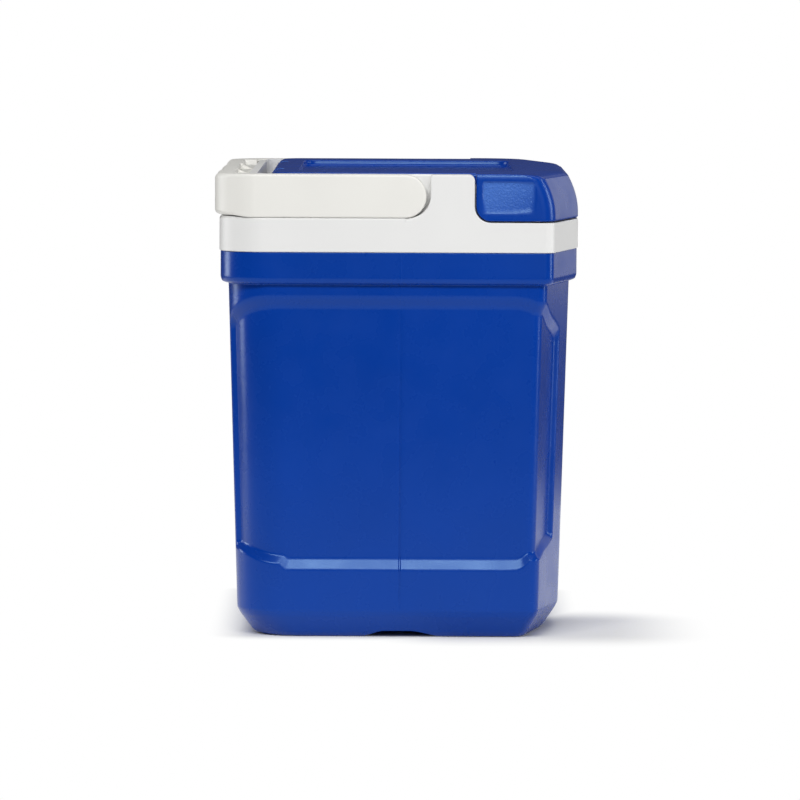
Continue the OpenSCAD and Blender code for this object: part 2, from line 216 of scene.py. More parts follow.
def soften(obj, width, where, merge=True):
    """Rounds the sharp edges that cuts left, where the test on an edge's two ends holds."""
    bm = bmesh.new()
    bm.from_mesh(obj.data)
    bmesh.ops.remove_doubles(bm, verts=bm.verts, dist=4e-6)
    if merge:
        bmesh.ops.dissolve_limit(bm, angle_limit=math.radians(0.4), verts=bm.verts, edges=bm.edges)
    edges = []
    for e in bm.edges:
        if len(e.link_faces) == 2 and e.calc_face_angle(0) > math.radians(50):
            a, b = e.verts[0].co * 1000, e.verts[1].co * 1000
            if where(a) and where(b):
                edges.append(e)
    bmesh.ops.bevel(bm, geom=edges, offset=width * 0.001, segments=2, profile=0.5,
                    affect="EDGES", clamp_overlap=True)
    bmesh.ops.recalc_face_normals(bm, faces=bm.faces)
    bm.to_mesh(obj.data)
    bm.free()


def finish_piece(obj, body, material, stands_for):
    mesh = obj.data
    mesh.materials.clear()
    mesh.materials.append(material)
    mesh.shade_smooth()
    mesh.set_sharp_from_angle(angle=math.radians(34))
    m = obj.modifiers.new("normals", "WEIGHTED_NORMAL")
    m.keep_sharp, m.weight = True, 60
    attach(obj, body)
    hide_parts(*stands_for)


# ------------------------------------------------------------------ the outline seen from above

SIDE_Y = [-104, -96, -86, -76, -66, -58, -50, -44, -41, -37, -33, -28, -23, -18, -13, -8, -4.2, -3.5, -3.0,
          -2.5, -1.8, 0, 4, 8, 12, 16, 20, 24, 28, 32, 36, 44, 54, 64, 74, 86]
FACET_X = [134, 142, 147, 149, 150, 151, 152, 153, 154, 156, 160, 168]
BACK_ARC = [0, 8, 16, 24, 32, 40, 48, 56, 64, 70, 75, 79, 83, 87, 90]


def facet_y(x, inset):
    return -FRONT + (x - FLAT_X) * SLOPE + inset / math.cos(ANGLE)


def fitted(values, lo, hi):
    """Rising values, those near or past either limit squeezed so that all stay between the limits."""
    pad = min(6, (hi - lo) / 3)
    a, b = lo + pad, hi - pad
    low = pad / (a - min(values[0], lo))
    high = pad / (max(values[-1], hi) - b)
    return [b + (v - b) * high if v > b else a - (a - v) * low if v < a else v for v in values]


def right_stations(ds, df, db, rc=SIDE_R, rb=BACK_R):
    """Points of the right half from the front's middle to the back's middle, each (x, y, where it is)."""
    out = [(0, df - FRONT, ("front", 0)), (35, df - FRONT, ("front", 35)), (70, df - FRONT, ("front", 70)),
           (100, df - FRONT, ("front", 100))]
    run = 60 * math.tan(ANGLE / 2)
    knee = FLAT_X - df * math.tan(ANGLE / 2)
    for i in range(7):
        a = ANGLE * i / 6
        x = knee - run + 60 * math.sin(a)
        out.append((x, df - FRONT + 60 * (1 - math.cos(a)), ("front", x)))
    corner_x = HALF - ds - rc
    facet = fitted(FACET_X, out[-1][0] + 0.5, corner_x - 0.5)
    for x, where in zip(facet, FACET_X):
        out.append((x, facet_y(x, df), ("facet", where)))
    out.append((mix(facet[-1], corner_x, 0.5), facet_y(mix(facet[-1], corner_x, 0.5), df), ("facet", 180)))
    cy = facet_y(corner_x, df + rc)
    start = math.degrees(ANGLE) - 90
    for k, (x, y) in enumerate(arc_points(corner_x, cy, rc, start, 0, 8)):
        out.append((x, y, ("corner", k / 8)))
    by = BACK - db - rb
    side = fitted(SIDE_Y, cy + 0.5, by - 0.5)
    for f in (0.33, 0.67):
        out.append((HALF - ds, mix(cy, side[0], f), ("side", mix(cy, SIDE_Y[0], f))))
    for y, where in zip(side, SIDE_Y):
        out.append((HALF - ds, y, ("side", where)))
    for f in (0.33, 0.67):
        out.append((HALF - ds, mix(side[-1], by, f), ("side", mix(SIDE_Y[-1], by, f))))
    for a in BACK_ARC:
        out.append((HALF - ds - rb + rb * math.cos(math.radians(a)), by + rb * math.sin(math.radians(a)),
                    ("arc", a)))
    for f in (0.75, 0.5, 0.25, 0):
        out.append(((HALF - ds - rb) * f, BACK - db, ("back", f)))
    return out


def at_height(outline, z):
    return [(x, y, z) for x, y in outline]


def mirrored(points):
    """The whole outline from its right half, whose first and last points are on the middle plane."""
    return list(points) + [(-p[0],) + tuple(p[1:]) for p in reversed(points[1:-1])]


def plan(ds, df, db, rc=SIDE_R, rb=BACK_R):
    return mirrored([(x, y) for x, y, _ in right_stations(ds, df, db, rc, rb)])


def shrunk(ring, share):
    """A ring drawn in towards the middle of its extent, at the same height."""
    mid = (max(p[1] for p in ring) + min(p[1] for p in ring)) / 2
    return [(x * share, mid + (y - mid) * share, z) for x, y, z in ring]


def eased(profile, rounds):
    """A profile of (inset, z) points with its inner corners rounded, always as many points."""
    out = [profile[0]]
    for k in range(1, len(profile) - 1):
        a, p, b = (np.array(profile[i], float) for i in (k - 1, k, k + 1))
        la, lb = np.linalg.norm(a - p), np.linalg.norm(b - p)
        t = min(rounds[k - 1], 0.46 * la, 0.46 * lb)
        s, e = p + (a - p) / la * t, p + (b - p) / lb * t
        for i in range(5):
            u = i / 4
            out.append(tuple(s * (1 - u) ** 2 + 2 * p * u * (1 - u) + e * u * u))
    out.append(profile[-1])
    return out


# ------------------------------------------------------------------ body

# the mould's parting line down each end: a ridge, sunk into the panel's ledge
PARTING_Y = -3.0
PARTING_PROUD = 0.16
PARTING_NOTCH = 0.9
PANEL_DEPTH = 4.5
BASE_Z = 24


def drafted(z):
    return 7.7 + (RIM_Z - z) * DRAFT


# the chamfer round the base, as (z, inset)
BASE = [(0, drafted(0) + 17.5), (1.2, drafted(1) + 14.6), (4, drafted(4) + 12), (19, drafted(19) + 2.2),
        (BASE_Z, drafted(BASE_Z))]


def base_inset(z):
    return float(np.interp(z, [b[0] for b in BASE], [b[1] for b in BASE]))


def arch(y):
    """How far the foot of the end is lifted off the floor at y."""
    return 5.6 * smooth((y + 43) / 31) * smooth((32 - y) / 22)


def panel_at(place):
    """At a station: the panel's share of its depth, its foot's height, its ledge's rise and its head's height."""
    kind, where = place
    foot, ledge = 59.6, 9.5
    if kind == "front":
        return 0.0, 83.0, 5.0, RIM_Z - 41
    if kind == "facet":
        f = (min(where, 206) - 150) / 56
        return smooth((where - 149.6) / 4.2), mix(83, 69.5, f), 4.9, RIM_Z - mix(41, 17, f)
    if kind == "corner":
        return 1.0, mix(69.5, 68.5, where), mix(4.9, 5.2, where), RIM_Z - mix(17, 15.5, where)
    if kind == "side":
        f = smooth((-101 - where) / 24)
        r = smooth((where - 103) / 26)
        return 1.0, foot + 8.9 * f + 5 * r, ledge - 4.3 * f - 2.5 * r, RIM_Z - 11 - 4.5 * f
    if kind == "arc":
        f = smooth(where / 80)
        head = RIM_Z - 11 - 24 * (where / 90) ** 2.0
        return 1 - smooth((where - 72) / 15), mix(64.6, 76, f), mix(7, 4.9, f), head
    return 0.0, 76.0, 4.9, RIM_Z - 35


def body_profile(place):
    """The body's outside at a station, as (inset, z) points from the floor to the top of the rim."""
    deep, foot, ledge, head = panel_at(place)
    deep *= PANEL_DEPTH
    lift = arch(place[1]) if place[0] == "side" else 0
    low = []
    for z, _ in BASE:
        raised = lift + z * (BASE_Z - lift) / BASE_Z
        low.append((base_inset(raised), raised))
    wall = [(drafted(foot), foot), (drafted(foot + ledge) + deep, foot + ledge),
            (drafted(head - 8.5) + deep, head - 8.5), (drafted(head), head), (drafted(RIM_Z), RIM_Z)]
    rim = [(6, RIM_Z), (2.4, RIM_Z + 1.4), (1, RIM_Z + 5), (1, SEAM)]
    if place[0] == "side" and abs(place[1] - PARTING_Y) < 0.6:
        wall[:2] = [(inset + PARTING_NOTCH, z) for inset, z in wall[:2]]
    points = low + wall + rim + [(3.4, SEAM)]
    if place == ("side", PARTING_Y):
        above = len(low) + 1
        points[above:-1] = [(inset - PARTING_PROUD, z) for inset, z in points[above:-1]]
    rounds = [0.5, 1.0, 1.6, 1.6, 1.4, 1.6, 3.0, 3.0, 1.0, 0.9, 1.2, 2.0, 1.6]
    return eased(points, rounds[:len(points) - 2])


def build_body():
    places = [s[2] for s in right_stations(12, 12, 12)]
    profiles = [body_profile(place) for place in places]
    levels = len(profiles[0])
    cache, rings = {}, []
    for k in range(levels):
        half = []
        for i, profile in enumerate(profiles):
            inset, z = profile[k]
            key = round(inset, 4)
            if key not in cache:
                cache[key] = right_stations(inset, inset, inset)
            x, y, _ = cache[key][i]
            half.append((x, y, z))
        rings.append(mirrored(half))
    # the base between the arches under the two ends is flat
    inner, deep = [], []
    for x, y, z in rings[0]:
        inner.append((min(max(x * 0.985, -130), 130), y * 0.97, z))
        deep.append((min(max(x * 0.975, -129), 129), y * 0.96, 0))
    rings = [deep, inner] + rings
    # up over the rim and down the inside of the wall
    for inset, z in ((4.2, SEAM), (4.2, RIM_Z + 4), (15.2, RIM_Z - 6), (24.5, 20), (27, 9)):
        rings.append(at_height(plan(inset, inset, inset), z))
    plug_hole = extruded("plug_hole", arc_points(0, 80, 11.5, 0, 352.5, 47), -1, 2.5, "z")
    return combine(tube("body_shell_v", rings), [plug_hole])


# ------------------------------------------------------------------ collar

def block_plan(d):
    """The collar's raised block, inset by d."""
    return plan(BLOCK_INSET + d, BLOCK_INSET + d, BACK - BLOCK_BACK_Y + d, 6, max(24 - d, 4))


def mouth_plan(d):
    """The mouth of the tub, inset by d."""
    return plan(34 + d, 31 + d, 65.3 + d, MOUTH_R, MOUTH_R)


def stacked(name, outline_at, profile):
    """A closed solid from (inset, z) levels of an outline that is a function of its inset."""
    return tube(name, [at_height(outline_at(d), z) for d, z in profile])


def prism(name, outline, z0, z1):
    return tube(name, [at_height(outline, z) for z in (z0, z1)])


def quarter(n):
    """The sine and cosine of n + 1 angles from 0 to a right angle."""
    return [(math.sin(math.pi / 2 * k / n), math.cos(math.pi / 2 * k / n)) for k in range(n + 1)]


def top_edge(z, r, d=0.0, n=4):
    """Rising (inset, z) points of an edge rounded over at its top."""
    return [(d + r * (1 - cos), z - r * (1 - sin)) for sin, cos in quarter(n)]


def bottom_edge(z, r, d=0.0, n=3):
    """Rising (inset, z) points of an edge rounded at its foot."""
    return [(d + r * (1 - sin), z + r * (1 - cos)) for sin, cos in quarter(n)]


def slab_behind(name, y, z0, z1, half=FAR, y1=FAR):
    """A cutter or keeper of everything behind y between two heights."""
    return extruded(name, [(-half, y), (half, y), (half, y1), (-half, y1)], z0, z1, "z")


def arm_shelf(ring):
    """The step of the collar under the handle's arms, higher inside and rising at the rear."""
    arm_foot = PIVOT[2] - ARM_R
    shelf = stacked("shelf", ring, [(0, BAND_Z - 6)] + top_edge(arm_foot - 0.9, 0.5)
                    + [(1.4, arm_foot - 0.9)] + top_edge(arm_foot - 0.2, 0.3, 1.5))
    for v in shelf.data.vertices:
        if v.co.z * 1000 > arm_foot - 0.6:
            v.co.z += 0.001 * smooth((v.co.y * 1000 - 127) / 17)
    front = PIVOT[1] - 0.1
    away = extruded("away", [(-FAR, -FAR), (FAR, -FAR), (FAR, front), (-FAR, front)], 300, 400, "z")
    return combine(shelf, [away])


def notch_corner():
    """The rounded top edge of the notch that the lid's front fills."""
    return arc_points(NOTCH_Y + NOTCH_R, COLLAR_TOP - NOTCH_R, NOTCH_R, 180, 90, 8)


def pillar_outline(least):
    """A pillar from the side, round behind for the arm's end. Its clearance grows upward from the least."""
    foot_r, gap, foot_z = 14.0, 21.8, BAND_Z - 6.6
    outline = [(PIVOT[1], foot_z)]
    for k in range(17):
        t = math.pi / 2 * k / 16
        clear = mix(ARM_R + least, gap, smooth(k / 16))
        outline.append((PIVOT[1] - clear * math.sin(t), PIVOT[2] - clear * math.cos(t)))
    outline += arc_points(PIVOT[1] - gap - 2.2, COLLAR_TOP - 2.2, 2.2, 0, 90, 4)
    outline += notch_corner()[::-1]
    outline += [(NOTCH_Y - foot_r + foot_r * math.cos(math.radians(a)),
                 BAND_Z + foot_r - foot_r * math.sin(math.radians(a))) for a in range(0, 91, 10)]
    return outline + [(NOTCH_Y - foot_r - 1, BAND_Z), (NOTCH_Y - foot_r - 1, foot_z)]


def collar_cutters():
    """What is cut from the collar: the lid's seat, its notch and channel, the mouth and the bush holes."""
    wide, turn, channel_back = LID_X + 0.6, 14, 121.5
    channel_plan = [(-wide, HINGE[1] - 1), (wide, HINGE[1] - 1)]
    channel_plan += arc_points(wide - turn, channel_back - turn, turn, 0, 90, 8)
    channel_plan += arc_points(turn - wide, channel_back - turn, turn, 90, 180, 8)
    cuts = [
        extruded("seat", [(-wide, -FAR), (wide, -FAR), (wide, HINGE[1]), (-wide, HINGE[1])], SEAT, OVER, "z"),
        extruded("front", [(-FAR, SEAT), (NOTCH_Y, SEAT)] + notch_corner()
                 + [(NOTCH_Y + NOTCH_R, OVER), (-FAR, OVER)], -FAR, FAR, "x"),
        extruded("channel", channel_plan, 378 + UP, OVER, "z", 2, 0, 4),
        drum("trough", -wide, wide, HINGE[1], HINGE[2], BARREL + 0.6),
        slab_behind("strip", 121.4, 396.8 + UP, OVER, 240, 200),
        prism("mouth", mouth_plan(-2.8), 300, OVER),
        prism("flange", plan(22.8, 19.8, 58.9, MOUTH_R, MOUTH_R), SEAT - 2, OVER)]
    for s in (-1, 1):
        a, b = sorted((s * (BLOCK_X - 6), s * (BLOCK_X + 1)))
        cuts.append(drum("bush_hole", a, b, PIVOT[1], PIVOT[2], 6))
    return cuts


def collar_hollow(ring):
    """The space inside the collar, open below and kept clear of the mouth and the hinge channel."""
    hollow = prism("hollow", ring(3), 300, BAND_Z - 3)
    combine(hollow, [prism("upper", block_plan(3), BAND_Z - 4, SEAT - 3.8)], "UNION")
    keep = prism("keep", mouth_plan(-5), 200, OVER)
    return combine(hollow, [keep, slab_behind("keep2", HINGE[1] - 12, 375 + UP, OVER)])


def build_collar():
    def ring(d):
        return plan(d, d, d, SIDE_R - min(d, 3), BACK_R - d)

    band = stacked("collar_v", ring, bottom_edge(SEAM, 0.9) + top_edge(BAND_Z, 1.1))
    parts = [stacked("block", block_plan, [(0, BAND_Z - 6)] + top_edge(COLLAR_TOP, 1.4)), arm_shelf(ring)]
    # each end has a pillar in two steps, the inner one closer to the arm
    for reach, least in ((HALF, 0.9), (HALF - 1.4, 0.25)):
        outline = pillar_outline(least)
        parts.append(extruded("pillar", outline, BLOCK_X - 8, reach, "x", 0, 1.3, 4))
        parts.append(extruded("pillar", outline, -reach, -BLOCK_X + 8, "x", 1.3, 0, 4))
    combine(band, parts, "UNION")
    combine(band, collar_cutters())
    combine(band, [collar_hollow(ring)])
    lip = prism("lip", plan(4.3, 4.3, 4.3), COLLAR[0][2], SEAM + 2)
    combine(lip, [prism("lip_in", plan(6.5, 6.5, 6.5), 300, 400)])
    bearings = [lip]
    for x in (-KNUCKLE_X, KNUCKLE_X):
        lo, hi = x - KNUCKLE_HALF, x + KNUCKLE_HALF
        knuckle = drum("knuckle", lo, hi, HINGE[1], HINGE[2], 7.6, 0.8)
        web = extruded("web", [(lo, 97), (hi, 97), (hi, 110), (lo, 110)], 377 + UP, HINGE[2], "z")
        combine(knuckle, [web], "UNION")
        combine(knuckle, [drum("pin", x - 20, x + 20, HINGE[1], HINGE[2], 2.56, n=24)])
        bearings.append(knuckle)
    combine(band, bearings, "UNION")

    def at_cut(p):
        on_top = p[2] > SEAT - 0.5 and p[1] < 122 and abs(p[0]) < BLOCK_X - 2
        return on_top and (abs(p[1] - HINGE[1]) > 9.5 or p[2] > 396)

    soften(band, 0.7, at_cut)
    return band


# ------------------------------------------------------------------ lid

def lean(z):
    return min(max(z - UP - 362, 0), 32) ** 2 / 118


def dish(y, z):
    """How far in the grained finger dish is at a point of the lid's end, 0 to 1."""
    ey = min(y + 119, -72 - y)
    ez = min(z - UP - 363.6, 392.7 + UP - z)
    soft = mix(2.4, 7, smooth((380 + UP - z) / 14) * 0.6 + smooth((-96 - y) / 20) * 0.4)
    return smooth(ey / soft) * smooth(ez / soft)


def grain(y, z, seed):
    """A pebbled surface, from -1 to 1."""
    rng = np.random.default_rng(seed)
    total = 0.0
    for _ in range(7):
        a, f, ph = rng.uniform(0, math.pi), rng.uniform(1.6, 3.1), rng.uniform(0, 6.28)
        total += math.sin(f * (y * math.cos(a) + z * math.sin(a)) + ph)
    return total / 3.2


def lid_front():
    zs = [SKIRT_Z, SKIRT_Z + 0.3, SKIRT_Z + 1.0, SKIRT_Z + 2.2]
    zs += list(np.arange(361.2, 393.9, 0.8) + UP) + [394.3 + UP]
    tops = [(395.0, 1.6, 0.1), (395.8, 2.7, 0.25), (396.5, 4.2, 0.42), (397.1, 6.2, 0.62), (397.6, 9, 0.8),
            (397.95, 13, 1.05), (398.2, 18, 1.35), (398.38, 25, 1.75), (398.5, 34, 2.4)]
    full = lean(TOP)
    levels = []
    for z in zs:
        low = 1.0 - math.sqrt(max(0, 1 - (1 - min(1, z - SKIRT_Z)) ** 2))
        levels.append((z, low, low + lean(z)))
    for z, f, s in tops:
        levels.append((z + UP, s, full + f))
    end_r, end_z = 12.8, BAND_Z + 14
    rings = []
    ys = np.linspace(0, 1, 84)
    for z, s, f in levels:
        y_end = NOTCH_Y - 1.2
        if z < end_z:
            y_end = NOTCH_Y - 14 + math.sqrt(max(end_r ** 2 - (end_z - z) ** 2, 0))
        half = []
        for x, y, place in right_stations(s, f, 0, 12):
            if place[0] in ("front", "facet", "corner"):
                half.append((x, y, z))
        y0 = half[-1][1]
        for t in ys[1:]:
            y = mix(y0, y_end - 1.2, t)
            d = dish(y, z) if z < 394.5 + UP else 0
            x = HALF - s - d * (1.2 - 0.16 * grain(y, z, 5) * d)
            half.append((x, y, z))
        for a in (30, 60, 90):
            half.append((HALF - s - 1.2 + 1.2 * math.cos(math.radians(a)),
                         y_end - 1.2 + 1.2 * math.sin(math.radians(a)), z))
        half.append((0, y_end, z))
        rings.append(mirrored(half))
    return tube("lid_shell_v", rings)


def lid_middle():
    y0, y1, r = -78.0, HINGE[1] + BARREL, 24.0
    top = TOP - 0.02
    right = [(0, y0), (LID_X, y0)]
    right += [(LID_X, y) for y in np.linspace(y0 + 12, y1 - r - 6, 10)]
    kinds = [0.0] * len(right)
    for i, p in enumerate(arc_points(LID_X - r, y1 - r, r, 0, 90, 18)):
        right.append(p)
        kinds.append(smooth(i / 18))
    for x in (150, 125, 105, 85, 60, 30, 0):
        right.append((x, y1))
        kinds.append(1.0)
    outline = mirrored(right)
    weights = kinds + list(reversed(kinds[1:-1]))
    move = miters(outline)
    p = np.array(outline)
    flat = np.abs(p[:, 1] - y0) < 1e-6
    move[flat] = [(-np.sign(x) * (1.0 if abs(x) > 1 else 0), 0) for x, _ in p[flat]]

    def side(u):
        if u < 0.3:
            a = math.pi / 2 * (1 - u / 0.3)
            return 2.5 * (1 - math.cos(a)), top - 2.5 * (1 - math.sin(a))
        t = (u - 0.3) / 0.7
        return max(0, t - 0.35) * 26, mix(top - 2.5, 389 + UP, min(1, t / 0.35))

    def rear(u):
        a = math.radians(90 - 262 * u)
        return BARREL * (1 - math.cos(a)), min(HINGE[2] + BARREL * math.sin(a), top)

    rings = []
    for u in np.linspace(0, 1, 27):
        (i0, z0), (i1, z1) = side(u), rear(u)
        ring = []
        for k in range(len(p)):
            w = weights[k]
            inset, z = mix(i0, i1, w), mix(z0, z1, w)
            q = p[k] + move[k] * inset
            ring.append((q[0], q[1], z))
        rings.append(ring)
    return tube("lid_middle", rings)


def mark_grain_and_painted_sheen(obj):
    """Writes how grained each point of the lid is, which also sets how much painted sheen it gets: full in the
    dishes, fading towards their front and foot, where the fade paints shade.
    """
    marks = obj.data.attributes.new("grain", "FLOAT", "POINT")
    for v in obj.data.vertices:
        x, y, z = v.co * 1000
        if abs(x) > HALF - 3:
            # the fade paints shade: the dishes are darker towards their front and foot, lighter towards their back
            # and top
            fade = 0.35 + 0.65 * smooth(((y + 119) * 0.55 + (z - UP - 363.6)) / 46)
            marks.data[v.index].value = dish(y, z) * fade


def skirt_inside(s):
    """The inside of the lid's skirt where its front leans back by s."""
    wall, back = 4.5, -81.5
    half = [(x, min(y, back)) for x, y, place in right_stations(wall, wall + s, 0)
            if place[0] in ("front", "facet", "corner")]
    return mirrored(half + [(HALF - wall, back), (0, back)])


def build_lid():
    lid = lid_front()
    levels = [350] + [z + UP for z in (362, 368, 374, 380, 386, 390.2)]
    hollow = tube("hollow", [at_height(skirt_inside(lean(z)), z) for z in levels])
    clear = prism("clear", block_plan(-1.2), 350, 389 + UP)
    pan_room = extruded("pan_room", rounded_rect(-194.6, 194.6, -86, 92.5, 6), 386 + UP, 390.5 + UP, "z")
    combine(lid, [lid_middle()], "UNION")
    combine(lid, [hollow, clear, pan_room])
    # the tray in the top: a rounded foot, then a rounded brim
    tray = rounded_rect(-145, 145, -101, 86, 12, 10)
    floor = TOP - 5.5
    p, move = np.array(tray), miters(tray)
    rings = []
    for inset, h in ((4.2, floor), (2.2, floor + 0.28), (0.9, floor + 1.0), (0.25, floor + 2.1), (0, floor + 3.2),
                     (-0.1, TOP - 1.6), (-0.35, TOP - 0.8), (-0.9, TOP - 0.3), (-1.9, TOP - 0.06),
                     (-3.4, TOP + 0.4)):
        rings.append(at_height(p + move * inset, h))
    cuts = [tube("tray", rings)]
    for x in (-KNUCKLE_X, KNUCKLE_X):
        reach = KNUCKLE_HALF + 0.5
        cuts.append(drum("notch", x - reach, x + reach, HINGE[1], HINGE[2], 8.9))
    combine(lid, cuts)
    soften(lid, 0.6, lambda q: q[1] > 90 and 80 < abs(q[0]) < 120, merge=False)
    mark_grain_and_painted_sheen(lid)
    return lid


# ------------------------------------------------------------------ handle

def handle_stations():
    """Stations from the right pivot to the middle: outer point, inner point, share of crossbar, share of lip step.

    A lip step of -1 is where the grip fills the crossbar.
    """
    out = []
    oy, iy = BAIL[1][1] - 40, BAR_Y - 22
    for y in np.linspace(PIVOT[1], 104, 10):
        out.append(((HALF, y), (ARM_X, y), 0.0, 0.0))
    for k in range(1, 15):
        a = math.radians(90 * k / 14)
        o = (HALF - 40 + 40 * math.cos(a), oy + 40 * math.sin(a))
        i = (ARM_X - 22 + 22 * math.cos(a), iy + 22 * math.sin(a))
        out.append((o, i, smooth(k / 14), 0.0))
    lip = BAIL[1][1]
    for x in (179.4, 177, 174, 171, 168, 160, 150, 140, 130, 120, 110, 100, 90, 80, 72, 67.5, 66.02):
        out.append(((x, lip), (x, BAR_Y), 1.0, smooth((181 - x) / 6)))
    for x in (65.98, 60, 50, 40, 30, 20, 10, 0):
        out.append(((x, lip), (x, LIP_Y), 1.0, -1.0))
    return out


# the step down from the crossbar's lip: (distance from its middle, share of the drop)
LIP_STEP = [(-1.3, 0), (-0.55, 0.06), (-0.1, 0.22), (0.0, 0.5), (0.1, 0.78), (0.55, 0.94), (1.3, 1)]
LIP_DROP = 5
UNDER_RISE = 1.7


def handle_section(station):
    """The bail's cross-section at a station, always as many points, going up its outside and down its inside."""
    outer, inner, bar, step = station
    o, i = np.array(outer, float), np.array(inner, float)
    thick = np.linalg.norm(i - o)
    d = (i - o) / thick
    ro, ri = mix(2.0, 4.6, bar), mix(1.6, 2.2, bar)
    if step < 0:
        ri = 0.8
    top, drop = ARM_R, LIP_DROP * max(step, 0)
    foot = UNDER_RISE * smooth((bar - 0.03) / 0.4) - top
    turns = quarter(6)
    points = [(ro * (1 - sin), foot + ro * (1 - cos)) for sin, cos in turns]
    points += [(ro * (1 - sin), top - ro * (1 - cos)) for sin, cos in turns[::-1]]
    at = min(outer[1] - LIP_Y, thick - ri - 1.5) if step > 0 else mix(ro, thick - ri, 0.5)
    points += [(at + u, top - drop * share) for u, share in LIP_STEP]
    points += [(thick - ri * (1 - sin), top - drop - ri * (1 - cos)) for sin, cos in turns]
    points += [(thick - ri * (1 - sin), foot + ri * (1 - cos)) for sin, cos in turns[::-1]]
    return [(*(o + d * u), PIVOT[2] + h) for u, h in points]


def wave(x, y):
    """The slight unevenness of the crossbar's moulded lip."""
    if y < LIP_Y + 1 and abs(x) < 66.01:
        return 0.0
    f = smooth((y - 128) / 12) * smooth((188 - abs(x)) / 24)
    return 1.25 * f * (math.sin(x * 0.052 + 0.9) * 0.75 + math.sin(x * 0.12 + 2.1) * 0.25 - 1)


def build_handle():
    stations = handle_stations()
    sections = [handle_section(s) for s in stations]
    n = len(sections[0])
    rows = sections + [[(-x, y, z) for x, y, z in s] for s in reversed(sections[:-1])]
    rows = [[(x, y + wave(x, y), z) for x, y, z in row] for row in rows]
    verts = [p for row in rows for p in row]
    faces = []
    for k in range(len(rows) - 1):
        for i in range(n):
            j = (i + 1) % n
            faces.append((k * n + i, k * n + j, (k + 1) * n + j, (k + 1) * n + i))
    # the round ends of the arms: the section's upper half turned about the pivot
    upper = [p for p in sections[0] if p[2] > PIVOT[2]]
    first = upper[0]
    profile = [(first[0], 0.0)] + [(p[0], p[2] - PIVOT[2]) for p in upper] + [(upper[-1][0], 0.0)]
    for s in (1, -1):
        start = len(verts)
        turns = 24
        for k in range(turns + 1):
            a = math.pi * k / turns
            for x, r in profile:
                verts.append((s * x, PIVOT[1] - r * math.sin(a), PIVOT[2] + r * math.cos(a)))
        m = len(profile)
        for k in range(turns):
            for i in range(m - 1):
                a, b = start + k * m + i, start + (k + 1) * m + i
                faces.append((a, a + 1, b + 1, b))
    obj = new_object("handle_bail_v", verts, faces)
    cuts = []
    for s in (-1, 1):
        a, b = sorted((s * (ARM_X - 1), s * (HALF - 5.5)))
        cuts.append(drum("pin_hole", a, b, PIVOT[1], PIVOT[2], 4, n=32))
        for k in range(3):
            x0 = 69 + k * 32.9
            a, b = sorted((s * x0, s * (x0 + 31.2)))
            outline = rounded_rect(a, b, 133.6, 152.6, 2.5, 4)
            cuts.append(extruded("pocket", outline, 350, 389.6 + UP, "z", 0, 1.5, 3))
    return combine(obj, cuts)


def build_grip():
    y0, y1 = GRIP[0][1], GRIP[1][1]
    half = GRIP[1][0]
    rings = []
    for x in np.linspace(-half, half, 133):
        k = max(-2, min(2, round(x / 25)))
        d = abs(x - k * 25)
        y = y0 + 0.9 * math.exp(-((d - 10.72) / 1.7) ** 2)
        if d < 11:
            y += max(0.0, math.sqrt(15 ** 2 - d * d) - 10.5)
        rings.append([(x, a, b) for a, b in rounded_rect(y, y1, GRIP[0][2], GRIP[1][2], 1.4, 3)])
    return tube("handle_grip_v", rings)


# ------------------------------------------------------------------ tub and lid lining

def taper(z):
    return max(372 + UP - z, 0) * DRAFT


def build_liner():
    floor = LINER[0][2] + 2.5
    foot, low = taper(floor), LINER[0][2]
    out = [(foot + 14, low), (foot + 4, low), (foot - 1, low + 1.6), (foot - 2.5, low + 6), (-2.5, 372 + UP),
           (-2.5, SEAT - 2)]
    flange = [(1.2, SEAT - 2), (0.3, SEAT - 1.6), (0, SEAT - 1), (0.3, SEAT - 0.4), (1.2, SEAT)]
    inside = [(-1.8, SEAT), (-0.9, SEAT - 0.35), (-0.3, SEAT - 1.0), (0, SEAT - 2), (0, 372 + UP), (0.6, 369 + UP)]
    inside += [(taper(z) + 0.6, z) for z in (340, 280, 200, 120, 70)]
    inside += [(taper(floor) + 0.6 + 14 * (1 - cos), floor + 14 * (1 - sin)) for sin, cos in quarter(7)]
    rings = [at_height(mouth_plan(d), z) for d, z in out]
    rings += [at_height(plan(23 + d, 20 + d, 59.9 + d, MOUTH_R, MOUTH_R), z) for d, z in flange]
    rings += [at_height(mouth_plan(d), z) for d, z in inside]
    rings += [shrunk(rings[-1], 0.75), shrunk(rings[-1], 0.4)]
    return tube("liner_v", rings)


def build_pan():
    low, rim = PAN[0][2], 389.0 + UP

    def plug(profile):
        return [at_height(mouth_plan(2.2 + d), z) for d, z in profile]

    # the plug's face, sunk in the middle, then up its side to the pan's edge and back inside
    face = plug([(22, low + 1.6), (20.5, low + 1.2), (19, low + 0.3), (17.5, low), (6, low)])
    side = plug([(3.2, low), (1.6, low + 0.7), (0.6, low + 2.0), (0.3, low + 4), (0, rim - 1.2), (-0.4, rim - 0.4),
                 (-1.4, rim)])
    edge = [at_height(plan(25.3 + e, 17 + e, 60.3 + e, MOUTH_R, MOUTH_R), z)
            for e, z in ((0.5, rim), (0, rim + 0.4), (0, rim + 1.0), (0.5, rim + 1.4))]
    inside = plug([(2.5, rim + 1.4), (3.5, low + 5), (5, low + 3.6), (16, low + 3.6)])
    rings = [shrunk(face[0], 0.6)] + face + side + edge + inside + [shrunk(inside[-1], 0.6)]
    return tube("lid_liner_v", rings)


# ------------------------------------------------------------------ finishes

